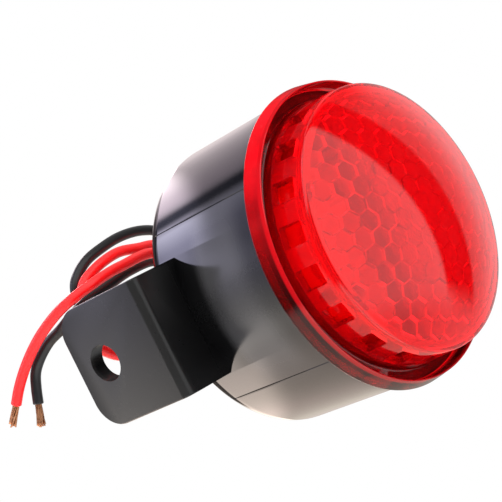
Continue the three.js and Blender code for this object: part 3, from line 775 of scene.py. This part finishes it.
def make_lens():
    """One closed moulding: dome, skirt, trough, rim, band, spigot, sleeve and optic cells."""
    dome = cap_arc(SKIRT_RADIUS, DOME_EDGE, DOME_RISE, 22, to_radius=SKIRT_HEAD)
    outside = dome[:-1] + rounded(
        [
            dome[-2],
            (dome[-1][0], dome[-1][1], 1.2), (skirt_at(WINDOW_HIGH), WINDOW_HIGH),
            (skirt_at(WINDOW_LOW), WINDOW_LOW), (SKIRT_FOOT, TROUGH_FLOOR, 0.5),
            (TROUGH_OUTER, TROUGH_FLOOR, 0.4), (RIM_INNER, RIM_TOP - 0.1, 0.3),
            (RIM_OUTER - 0.05, RIM_TOP, 0.3), (RIM_OUTER, RIM_TOP - 0.15, 0.2),
            (BAND_RADIUS - 0.4, 2.4, 0.25), (BAND_RADIUS, 0.2, 0.15),
            (BAND_RADIUS - 0.2, 0.0), (SKIRT_RADIUS, 0.0),
            (SKIRT_RADIUS, SPIGOT_END + 0.4), (SKIRT_RADIUS - 0.4, SPIGOT_END),
            (SLEEVE_RADII[0], SPIGOT_END), (SLEEVE_RADII[0], SLEEVE_TOP, 0.4),
            (SLEEVE_RADII[1], SLEEVE_TOP, 0.4), (SLEEVE_RADII[1], WEB_TOP, 0.3),
            (SKIRT_INNER, WEB_TOP, 0.3), (SKIRT_INNER, WINDOW_LOW),
            (SKIRT_INNER, WINDOW_HIGH), (SKIRT_INNER, INNER_EDGE, 0.5),
            (OPTIC_RING, inner_dome(OPTIC_RING)),
        ],
        arc_steps=4,
    )[1:]
    bm = turned_mesh(outside, WINDOWS * COLUMNS_PER_WINDOW, closed=False, phase=WINDOW_CENTRE)
    add_lenslets(bm)
    open_windows(bm, SKIRT_INNER, SKIRT_RADIUS, WINDOW_LOW, WINDOW_HIGH, WINDOW_CENTRE)
    bmesh.ops.remove_doubles(bm, verts=bm.verts, dist=SAME_PLACE)
    bmesh.ops.recalc_face_normals(bm, faces=bm.faces)

    def in_optic(face):
        middle = face.calc_center_median()
        near_top = forward_of(middle) > INNER_EDGE
        inside = forward_of(middle) < inner_dome(min(radius_of(middle), SKIRT_INNER)) + 1.4
        return near_top and inside and radius_of(middle) < OPTIC_RADIUS

    piece = finished("clear_red_lens", bm, sharp=28.0, flat=in_optic)
    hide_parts("lens")
    return piece


lens = make_lens()


# ---- Housing ----
def mark_seams(bm):
    """A fine vee along each mould line of the barrel."""
    for sign in (1, -1):
        for shift in (-SEAM_HALF, 0.0, SEAM_HALF):
            angle = math.radians(sign * SEAM_ANGLE + shift)
            across = Vector((math.sin(angle), 0.0, math.cos(angle)))
            near = [f for f in bm.faces if f.calc_center_median().x < CENTRE.x + 0.001]
            parts = {item for f in near for item in (*f.verts, *f.edges)}
            bmesh.ops.bisect_plane(
                bm, geom=list(parts) + near, dist=SAME_PLACE, plane_co=CENTRE, plane_no=across
            )
    for vert in bm.verts:
        angle = abs(angle_about_axis(vert.co))
        radius = radius_of(vert.co)
        if abs(angle - SEAM_ANGLE) < 0.02 and radius > 27.0 and forward_of(vert.co) < -GAP - 0.1:
            inward = Vector((CENTRE.x - vert.co.x, 0.0, -vert.co.z)).normalized()
            vert.co += inward * SEAM_DEPTH * MM


def ear_bar():
    """The angled ear with its neck: a bent bar with rounded outer corners."""
    back = NECK_FRONT - NECK_THICK
    inner_face = EAR_REACH - EAR_THICK
    side = rounded(
        [
            (NECK_ROOT, NECK_FRONT), (NECK_ROOT, back),
            (inner_face, back, NECK_BACK_ROUND), (inner_face, EAR_END),
            (EAR_REACH, EAR_END), (EAR_REACH, NECK_FRONT, BEND_RADIUS),
        ],
        arc_steps=6, closed=True,
    )
    bm = bmesh.new()
    half = EAR_WIDTH / 2
    verts = [bm.verts.new(placed((toward, forward, -half))) for toward, forward in side]
    face = bm.faces.new(verts)
    pushed = bmesh.ops.extrude_face_region(bm, geom=[face])
    moved = [item for item in pushed["geom"] if isinstance(item, bmesh.types.BMVert)]
    bmesh.ops.translate(bm, verts=moved, vec=(0.0, 0.0, EAR_WIDTH * MM))
    bmesh.ops.recalc_face_normals(bm, faces=bm.faces)
    corners = []
    for edge in bm.edges:
        a, b = (vert.co for vert in edge.verts)
        at_end = forward_of(a) < EAR_END + 0.05 and forward_of(b) < EAR_END + 0.05
        if at_end and abs(a.z - b.z) < 1e-6 and abs(abs(a.z) / MM - half) < 0.01:
            corners.append(edge)
    bmesh.ops.bevel(
        bm, geom=corners, affect="EDGES", offset=EAR_CORNER * MM, offset_type="OFFSET",
        segments=14, profile=0.5, material=-1,
    )
    crisp = []
    for edge in bm.edges:
        reach = min(AXIS_X - vert.co.x / MM for vert in edge.verts)
        if reach > NECK_ROOT + 0.5 and edge.calc_face_angle(0.0) > math.radians(40):
            crisp.append(edge)
    bmesh.ops.bevel(
        bm, geom=crisp, affect="EDGES", offset=EDGE_ROUND * MM, offset_type="OFFSET",
        segments=3, profile=0.5, material=-1, clamp_overlap=True,
    )
    return bm


def round_bar(radius, start, end, steps=64):
    """A bar across the ear: centred on the bolt hole, along the ear's own normal."""
    bm = bmesh.new()
    length = (end - start) * MM
    bmesh.ops.create_cone(
        bm, cap_ends=True, segments=steps, radius1=radius * MM, radius2=radius * MM, depth=length
    )
    tip = Matrix.Rotation(math.radians(90), 4, "Y")
    middle = placed(((start + end) / 2, EAR_HOLE, 0.0))
    bmesh.ops.transform(bm, matrix=Matrix.Translation(middle) @ tip, verts=bm.verts)
    return bm


CORNER_BAR_ANGLES = (22.0, 35.2)  # from inside the neck to beside the seam
CORNER_BAR_PLACE = (32.3, -31.1)  # radius and forward, on the rear fillet
CORNER_BAR_THICK = 1.2
SEAM_NOTCH = ((33.2, -29.6), (31.9, -32.6))
SEAM_NOTCH_WIDTH = 1.3


def on_barrel(radius, forward, degrees):
    angle = math.radians(degrees)
    return placed((radius * math.cos(angle), forward, radius * math.sin(angle)))


def corner_bar(sign):
    """A raised rib along the rear fillet, between the neck and the mould line."""
    low, high = CORNER_BAR_ANGLES
    steps = 8
    turns = [low + (high - low) * step / steps for step in range(steps + 1)]
    line = [on_barrel(*CORNER_BAR_PLACE, sign * turn) for turn in turns]
    bm = bmesh.new()
    add_wire(bm, line, CORNER_BAR_THICK * MM, 14)
    return bm


def seam_notch(sign):
    """The small groove where the mould line meets the rib."""
    bm = bmesh.new()
    line = [on_barrel(*end, sign * SEAM_ANGLE) for end in SEAM_NOTCH]
    add_wire(bm, line, SEAM_NOTCH_WIDTH * MM, 14)
    return bm


def make_housing():
    """The barrel with its ear, bolt hole, rear ribs and hollow inside."""
    fillet_radius = BARREL_REAR - BARREL_FILLET
    outer = rounded(
        [
            (0.0, REAR), (fillet_radius - 2, REAR), (BARREL_REAR, REAR, BARREL_FILLET),
            (BARREL_FRONT, -GAP, BARREL_MOUTH), (0.0, -GAP),
        ],
        arc_steps=14,
    )
    barrel = turned_mesh(outer, 200, closed=False)
    mark_seams(barrel)
    body = combined(barrel, ear_bar(), "UNION")
    body = combined(body, round_bar(EAR_HOLE_RADIUS, 38.0, 50.0), "DIFFERENCE")
    for sign in (1, -1):
        body = combined(body, corner_bar(sign), "UNION")
        body = combined(body, seam_notch(sign), "DIFFERENCE")
    hollow = turned_mesh(
        [
            (0.0, 2.0), (SKIRT_RADIUS + GAP, 2.0), (SKIRT_RADIUS + GAP, LEDGE),
            (BORE_RADIUS, LEDGE), (BORE_RADIUS, FLOOR), (SERVICE_RADIUS, FLOOR),
            (SERVICE_RADIUS, COVER_SEAT), (COVER_POCKET_RADIUS, COVER_SEAT),
            (COVER_POCKET_RADIUS, REAR - 1.0), (0.0, REAR - 1.0),
        ],
        120, closed=False,
    )
    body = combined(body, hollow, "DIFFERENCE")
    piece = finished("gloss_barrel", body, sharp=32.0)
    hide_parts("housing")
    return piece


housing = make_housing()


# ---- Rear cover, its screws and the cable grommet ----
COVER_THICK = 1.6
COVER_RADIUS = 24.2
COVER_HOLE = 5.3
COVER_GROOVE = (9.0, 9.6, 16.6, 17.2)  # radii of the shallow groove in its rear face
COVER_GROOVE_DEPTH = 0.35
COVER_SCREW_ORBIT = 21.0
SCREW_ANGLES = (0.0, 120.0, 240.0)
SCREW_HOLE_RADIUS = 1.75
SCREW_HEAD_RADIUS = 2.7
SCREW_HEAD_HEIGHT = 1.6
SCREW_SHANK_RADIUS = 1.3
SCREW_TIP = -30.2
CROSS_LENGTH = 3.0
CROSS_WIDTH = 0.72
CROSS_DEPTH = 1.0
CROSS_TAPER = 0.72
CROSS_TURNS = (25.0, 37.0)  # of the first screw, and from each to the next


def shifted(bm, degrees, orbit, forward=0.0):
    """Moves a bmesh from the lamp's axis out to an orbit about it."""
    angle = math.radians(degrees)
    step = placed((orbit * math.cos(angle), forward, orbit * math.sin(angle))) - CENTRE
    bmesh.ops.translate(bm, verts=bm.verts, vec=step)
    return bm


def make_rear_cover():
    """A flat disc with a groove, three screw holes and a hole for the grommet."""
    front = REAR + COVER_THICK
    section = rounded(
        [
            (COVER_HOLE, front), (COVER_HOLE, REAR, 0.3), (COVER_GROOVE[0], REAR),
            (COVER_GROOVE[1], REAR + COVER_GROOVE_DEPTH, 0.2),
            (COVER_GROOVE[2], REAR + COVER_GROOVE_DEPTH, 0.2), (COVER_GROOVE[3], REAR),
            (COVER_RADIUS, REAR, 0.5), (COVER_RADIUS, front),
        ],
        arc_steps=4, closed=True,
    )
    cover = turned_mesh(section, 120, closed=True)
    hole_section = [
        (0.0, front + 1), (SCREW_HOLE_RADIUS, front + 1), (SCREW_HOLE_RADIUS, REAR - 1),
        (0.0, REAR - 1),
    ]
    for degrees in SCREW_ANGLES:
        hole = turned_mesh(hole_section, 32, closed=False)
        cover = combined(cover, shifted(hole, degrees, COVER_SCREW_ORBIT), "DIFFERENCE")
    piece = finished("screwed_rear_cover", cover)
    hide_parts("rear_cover")
    return piece


def cross_bar(top, degrees):
    """One bar of the cross recess, sunk into a screw head whose top is at the given place."""
    bm = bmesh.new()
    bmesh.ops.create_cube(bm, size=1.0)
    for vert in bm.verts:
        narrow = CROSS_TAPER if vert.co.y < 0 else 1.0
        vert.co.x *= CROSS_LENGTH * MM * narrow
        vert.co.z *= CROSS_WIDTH * MM
        vert.co.y *= 2 * CROSS_DEPTH * MM
    bmesh.ops.rotate(bm, verts=bm.verts, matrix=Matrix.Rotation(math.radians(degrees), 3, AXIS))
    bmesh.ops.translate(bm, verts=bm.verts, vec=placed((0.0, top, 0.0)))
    return bm


def make_cover_screws():
    """Three pan head screws with cross recesses, each turned to a different rest."""
    seat = REAR - GAP
    top = seat - SCREW_HEAD_HEIGHT
    joined = bmesh.new()
    for number, degrees in enumerate(SCREW_ANGLES):
        section = rounded(
            [
                (0.0, top), (1.2, top), (SCREW_HEAD_RADIUS, top, 1.1),
                (SCREW_HEAD_RADIUS, seat, 0.2), (SCREW_SHANK_RADIUS, seat, 0.15),
                (SCREW_SHANK_RADIUS, SCREW_TIP - 0.5),
                (SCREW_SHANK_RADIUS - 0.5, SCREW_TIP), (0.0, SCREW_TIP),
            ],
            arc_steps=5,
        )
        screw = turned_mesh(section, 40, closed=False)
        rest = CROSS_TURNS[0] + CROSS_TURNS[1] * number
        for bar in (0.0, 90.0):
            screw = combined(screw, cross_bar(top, bar + rest), "DIFFERENCE")
        add_part(joined, shifted(screw, degrees, COVER_SCREW_ORBIT))
    piece = finished("rear_cover_screws", joined)
    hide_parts("rear_cover_screw_1", "rear_cover_screw_2", "rear_cover_screw_3")
    return piece


GROMMET_END = -38.0


def make_grommet():
    """The rubber bush that holds both leads in the cover, with a tapered tail."""
    lip = REAR + COVER_THICK
    section = rounded(
        [
            (0.0, GROMMET_END), (4.2, GROMMET_END), (4.6, GROMMET_END + 0.5, 0.3),
            (6.6, GROMMET_END + 1.2, 0.6), (7.0, GROMMET_END + 1.7, 0.4),
            (7.0, REAR - GAP, 0.2), (5.0, REAR - GAP, 0.1), (5.0, lip + GAP, 0.1),
            (6.0, lip + GAP, 0.2), (5.6, lip + 1.3, 0.3), (0.0, lip + 1.3),
        ],
        arc_steps=4,
    )
    piece = finished("rubber_cable_grommet", turned_mesh(section, 72, closed=False))
    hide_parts("cable_grommet")
    return piece


rear_cover = make_rear_cover()
cover_screws = make_cover_screws()
grommet = make_grommet()


# ---- Light-emitting diodes ----
LED_ORBIT = 22.5
LED_SEAT = -7.8
LED_SIZE = (3.5, 1.4, 2.8)  # toward the axis, forward, along the ring
LEDS = 12
LED_EDGE = 0.15
LED_CUP = 0.22  # depth of the recess round the small lens
LED_DOME = 0.4


def led_package():
    """One package at the lamp's axis: a bevelled block with a domed lens set in its top."""
    bm = bmesh.new()
    bmesh.ops.create_cube(bm, size=1.0)
    across, deep, along = (part * MM for part in LED_SIZE)
    for vert in bm.verts:
        vert.co = (vert.co.x * across, vert.co.y * deep * 0.8, vert.co.z * along)
    bmesh.ops.bevel(
        bm, geom=bm.edges[:], offset=LED_EDGE * MM, segments=2, profile=0.5, affect="EDGES", material=-1
    )
    top = min(bm.faces, key=lambda face: face.calc_center_median().y)
    bmesh.ops.inset_region(bm, faces=[top], thickness=0.35 * MM)
    bmesh.ops.translate(bm, verts=top.verts, vec=(0.0, LED_CUP * MM, 0.0))
    bmesh.ops.inset_region(bm, faces=[top], thickness=0.15 * MM)
    bmesh.ops.inset_region(bm, faces=[top], thickness=0.4 * MM)
    bmesh.ops.translate(bm, verts=top.verts, vec=(0.0, -LED_DOME * MM, 0.0))
    return bm


def make_leds():
    """The ring of packages on the LED board."""
    joined = bmesh.new()
    for number in range(LEDS):
        degrees = 360 / LEDS * (number + 0.5)
        package = led_package()
        spin = Matrix.Rotation(math.radians(degrees), 3, AXIS)
        bmesh.ops.rotate(package, verts=package.verts, matrix=spin)
        bmesh.ops.translate(package, verts=package.verts, vec=CENTRE)
        add_part(joined, shifted(package, degrees, LED_ORBIT, LED_SEAT + LED_SIZE[1] / 2))
    piece = finished("led_packages", joined, sharp=40.0)
    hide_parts(*(f"led_{number + 1:02d}" for number in range(LEDS)))
    return piece


leds = make_leds()


# ---- Materials ----
def finish_material(name, paint, **fixed):
    """A surface whose colour, roughness and relief come from paint(tree, where)."""
    material = bpy.data.materials.new(name)
    material.use_nodes = True
    tree = Tree(material.node_tree)
    where = tree.node("ShaderNodeTexCoord", {}, {}, output=3)
    surface = tree.node("ShaderNodeBsdfPrincipled", {}, {**fixed, **paint(tree, where)})
    tree.node("ShaderNodeOutputMaterial", {}, {"Surface": surface})
    return material


def noise(tree, where, scale, detail=2.0, rough=0.5):
    return tree.node(
        "ShaderNodeTexNoise", {},
        {"Vector": where, "Scale": scale, "Detail": detail, "Roughness": rough},
    )


def relief(tree, height, depth, strength=1.0):
    """A bump of a real depth in metres."""
    return tree.node("ShaderNodeBump", {}, {"Height": height, "Distance": depth, "Strength": strength})


LENS_IOR = 1.58
CLEAR_RED = (1.0, 0.002, 0.005, 1.0)
MILKY_RED = (1.0, 0.006, 0.014, 1.0)
BLACK = (0.0, 0.0, 0.0, 1.0)
BAND_LIT = 0.7  # painted light: the band's red where it is brightest
DOME_RED = 0.6
MILKY_SHARES = (0.16, 0.69, 0.4)  # everywhere, more in the band, in the trough; the extra shares let the painted light and shade show there


def lens_milk_and_painted_light(tree, where):
    """How milky the red moulding is, and the colour of its milky part, over the lens. That colour holds
    painted light and shade: on the band bright red above and nearly black below with mottled patches, a
    front lighter toward the top, and painted shade in the trough and at the skirt's foot.

    Millimetres from the axis and forward of the seat tell the band, its front and the trough.
    """
    x, y, z = tree.parts(where)
    out = x - AXIS_X * MM
    radius = (out * out + z * z) ** 0.5 / MM
    forward = SEAT_Y - y / MM
    around = tree.angle(z, -out)
    on_band = radius.rise(34.4, 34.7) * forward.rise(4.9, 4.6)
    on_front = forward.rise(3.2, 3.8)
    in_trough = radius.rise(30.5, 30.7) * (1 - on_band) * forward.rise(4.1, 3.7)
    patches = noise(tree, where, 150.0, 3.0)
    # painted light and shade on the band: nearly black on its lower half, bright red above and on the
    # far side, with mottled patches low on the ear's side
    side = around.rise(-10.0, 75.0, 0.006, BAND_LIT) + around.rise(-135.0, -178.0, 0.0, BAND_LIT)
    side = side + around.rise(-25.0, -70.0) * patches.rise(0.48, 0.62, 0.0, 0.09)
    side = side * patches.rise(0.3, 0.7, 0.8, 1.2)
    # painted light on the band's front: a dimmer red, lighter toward the top
    band_painted_light_and_shade = side * (1 - on_front) + z.rise(-0.02, 0.01, 0.26, 0.42) * on_front
    # painted shade: a dark red with faint speckles in the trough and at the skirt's foot
    trough_painted_shade = patches.rise(0.35, 0.65, 0.02, 0.09)
    red = DOME_RED * (1 - on_band) * (1 - in_trough) + band_painted_light_and_shade * on_band + trough_painted_shade * in_trough
    everywhere, more_in_band, more_in_trough = MILKY_SHARES
    milky = everywhere + more_in_band * on_band + more_in_trough * in_trough
    return milky, tree.blend(red, BLACK, MILKY_RED)


def lens_surface(tree, where):
    """Roughness and relief of the polished moulding, with a few fine scratches."""
    fine = noise(tree, where, 900.0, 2.0)
    broad = noise(tree, where, 120.0, 2.0)
    stretched = tree.node("ShaderNodeMapping", {}, {"Vector": where, "Scale": (1.0, 0.06, 1.0)})
    scratch = noise(tree, stretched, 2600.0, 1.0).rise(0.66, 0.74)
    worn = scratch * broad.rise(0.5, 0.62)
    return {
        "Roughness": 0.035 + broad * 0.03 + worn * 0.2,
        "Normal": relief(tree, fine * 0.4 + worn, 0.00001, 0.35),
    }


def red_lens_material():
    """Clear red polycarbonate with a milky part mixed in, most of all in the thick band; the milky
    part's colour holds painted light and shade.
    """
    material = bpy.data.materials.new("clear_red_polycarbonate")
    material.use_nodes = True
    tree = Tree(material.node_tree)
    where = tree.node("ShaderNodeTexCoord", {}, {}, output=3)
    surface = lens_surface(tree, where)
    milky, colour = lens_milk_and_painted_light(tree, where)
    surface["IOR"] = LENS_IOR
    see_through = {"Base Color": CLEAR_RED, "Transmission Weight": 0.93}
    clear = tree.node("ShaderNodeBsdfPrincipled", {}, {**see_through, **surface})
    cloudy = tree.node("ShaderNodeBsdfPrincipled", {}, {"Base Color": colour, **surface})
    mixed = tree.node("ShaderNodeMixShader", {}, {0: milky, 1: clear, 2: cloudy})
    tree.node("ShaderNodeOutputMaterial", {}, {"Surface": mixed})
    return material


GRAIN_DEPTH = 0.00002  # metres
GLOSS_BLACKS = ((0.0012, 0.0012, 0.0016, 1.0), (0.0024, 0.0023, 0.0024, 1.0))
PAINTED_REFLECTION_GREY = (0.034, 0.033, 0.035, 1.0)  # painted reflection: the lighter grey painted on the barrel beside the neck
EAR_FACE_GREY = (0.010, 0.0095, 0.0095, 1.0)


def gloss_paint(tree, where):
    """Polished black on the barrel with a painted reflection beside the neck, satin on the ear; places
    are millimetres in the row's frame.
    """
    x, y, z = tree.parts(where)
    x, y, z = (part / MM for part in (x, y, z))
    on_ear = x.rise(14.5, 11.5)
    grain = noise(tree, where, 1500.0, 3.0)
    wave = noise(tree, where, 140.0, 2.0)
    cloud = noise(tree, where, 45.0, 2.0)
    rough = 0.07 + wave * 0.03 + on_ear * (0.16 + grain * 0.1)
    colour = tree.blend(cloud, *GLOSS_BLACKS)
    # painted reflection: a lighter grey on the barrel beside the neck
    painted_reflection_beside_neck = y.rise(-31.0, -24.0) * y.rise(-12.5, -16.5) * abs(z).rise(24.0, 12.0)
    painted_reflection_beside_neck = painted_reflection_beside_neck * x.rise(11.0, 12.5) * x.rise(26.0, 16.0)
    colour = tree.blend(painted_reflection_beside_neck * 0.9, colour, PAINTED_REFLECTION_GREY)
    colour = tree.blend(x.rise(1.2, 0.6), colour, EAR_FACE_GREY)
    return {
        "Base Color": colour, "Roughness": rough,
        "Normal": relief(tree, wave * 0.4 + grain * (0.05 + on_ear * 0.5), GRAIN_DEPTH, 0.25),
    }


def pvc_paint(light, dark):
    """Smooth insulation with a faint smear in its colour."""

    def paint(tree, where):
        smear = noise(tree, where, 260.0, 3.0)
        grain = noise(tree, where, 2200.0, 2.0)
        return {
            "Base Color": tree.blend(smear, (*dark, 1.0), (*light, 1.0)),
            "Roughness": 0.26 + grain * 0.18,
            "Normal": relief(tree, smear + grain * 0.3, 0.00003, 0.3),
        }

    return paint


def mottled(dark, light, scale, low, high):
    """A two-tone finish with soft patches and a fine grain."""

    def paint(tree, where):
        patch = noise(tree, where, scale, 3.0)
        grain = noise(tree, where, scale * 8, 2.0)
        return {
            "Base Color": tree.blend(patch.rise(0.3, 0.7), (*dark, 1.0), (*light, 1.0)),
            "Roughness": patch.rise(0.3, 0.7, low, high),
            "Normal": relief(tree, grain, GRAIN_DEPTH, 0.4),
        }

    return paint


lens_red = red_lens_material()
gloss_black = finish_material("gloss_black_abs", gloss_paint, IOR=1.5)
red_pvc = finish_material("red_pvc", pvc_paint((1.0, 0.004, 0.006), (0.75, 0.0, 0.002)), IOR=1.5)
black_paint = pvc_paint((0.012, 0.012, 0.013), (0.006, 0.006, 0.007))
black_pvc = finish_material("black_pvc", black_paint, IOR=1.5)

# For each slot: material, dark tone, light tone, patch scale, lowest and highest roughness.
MOTTLED = {
    "rubber": ("moulded_rubber", (0.010, 0.010, 0.010), (0.02, 0.02, 0.02), 300.0, 0.55, 0.8),
    "copper": ("bare_copper", (0.62, 0.27, 0.13), (0.85, 0.45, 0.25), 700.0, 0.2, 0.38),
    "steel": ("plated_steel", (0.48, 0.48, 0.50), (0.68, 0.68, 0.70), 900.0, 0.2, 0.36),
    "white_board": ("white_solder_mask", (0.74, 0.74, 0.72), (0.84, 0.84, 0.82), 200.0, 0.35, 0.5),
    "green_board": (
        "green_solder_mask", (0.012, 0.07, 0.028), (0.022, 0.12, 0.05), 400.0, 0.3, 0.5
    ),
    "inner_plastic": (
        "black_carrier_plastic", (0.014, 0.014, 0.015), (0.024, 0.024, 0.026), 260.0, 0.4, 0.6
    ),
    "ferrite": ("sintered_ferrite", (0.035, 0.035, 0.04), (0.07, 0.07, 0.075), 800.0, 0.6, 0.8),
    "film": ("sounder_film", (0.62, 0.52, 0.32), (0.74, 0.66, 0.44), 240.0, 0.25, 0.4),
    "capacitor_can": (
        "capacitor_sleeve", (0.014, 0.026, 0.07), (0.026, 0.042, 0.1), 300.0, 0.25, 0.4
    ),
    "chip": ("chip_epoxy", (0.012, 0.012, 0.013), (0.022, 0.022, 0.024), 1200.0, 0.45, 0.6),
    "led_body": ("led_package", (0.8, 0.76, 0.58), (0.88, 0.86, 0.74), 900.0, 0.3, 0.45),
    "floor": ("studio_floor_white", (0.78, 0.78, 0.78), (0.82, 0.82, 0.82), 6.0, 0.55, 0.65),
}
METALS = ("copper", "steel")
SLOT_FINISH = {
    "housing": gloss_black, "lens": lens_red, "red_insulation": red_pvc,
    "black_insulation": black_pvc,
}
for slot, (name, *look) in MOTTLED.items():
    metal = {"Metallic": 1.0} if slot in METALS else {}
    SLOT_FINISH[slot] = finish_material(name, mottled(*look), **metal)


def wear(piece, material):
    piece.data.materials.clear()
    piece.data.materials.append(material)


for piece, slot in (
    (lens, "lens"), (housing, "housing"), (red_lead, "red_insulation"),
    (black_lead, "black_insulation"), (red_strands, "copper"), (black_strands, "copper"),
    (rear_cover, "inner_plastic"), (cover_screws, "steel"), (grommet, "rubber"),
    (leds, "led_body"), (floor, "floor"),
):
    wear(piece, SLOT_FINISH[slot])

NODE_SLOT = {row["node"]: row["material_slot"] for row in frame["record"]["subparts"]}
for name, node in frame["nodes"].items():
    wear(node, SLOT_FINISH[NODE_SLOT[name]])


bpy.context.view_layer.update()
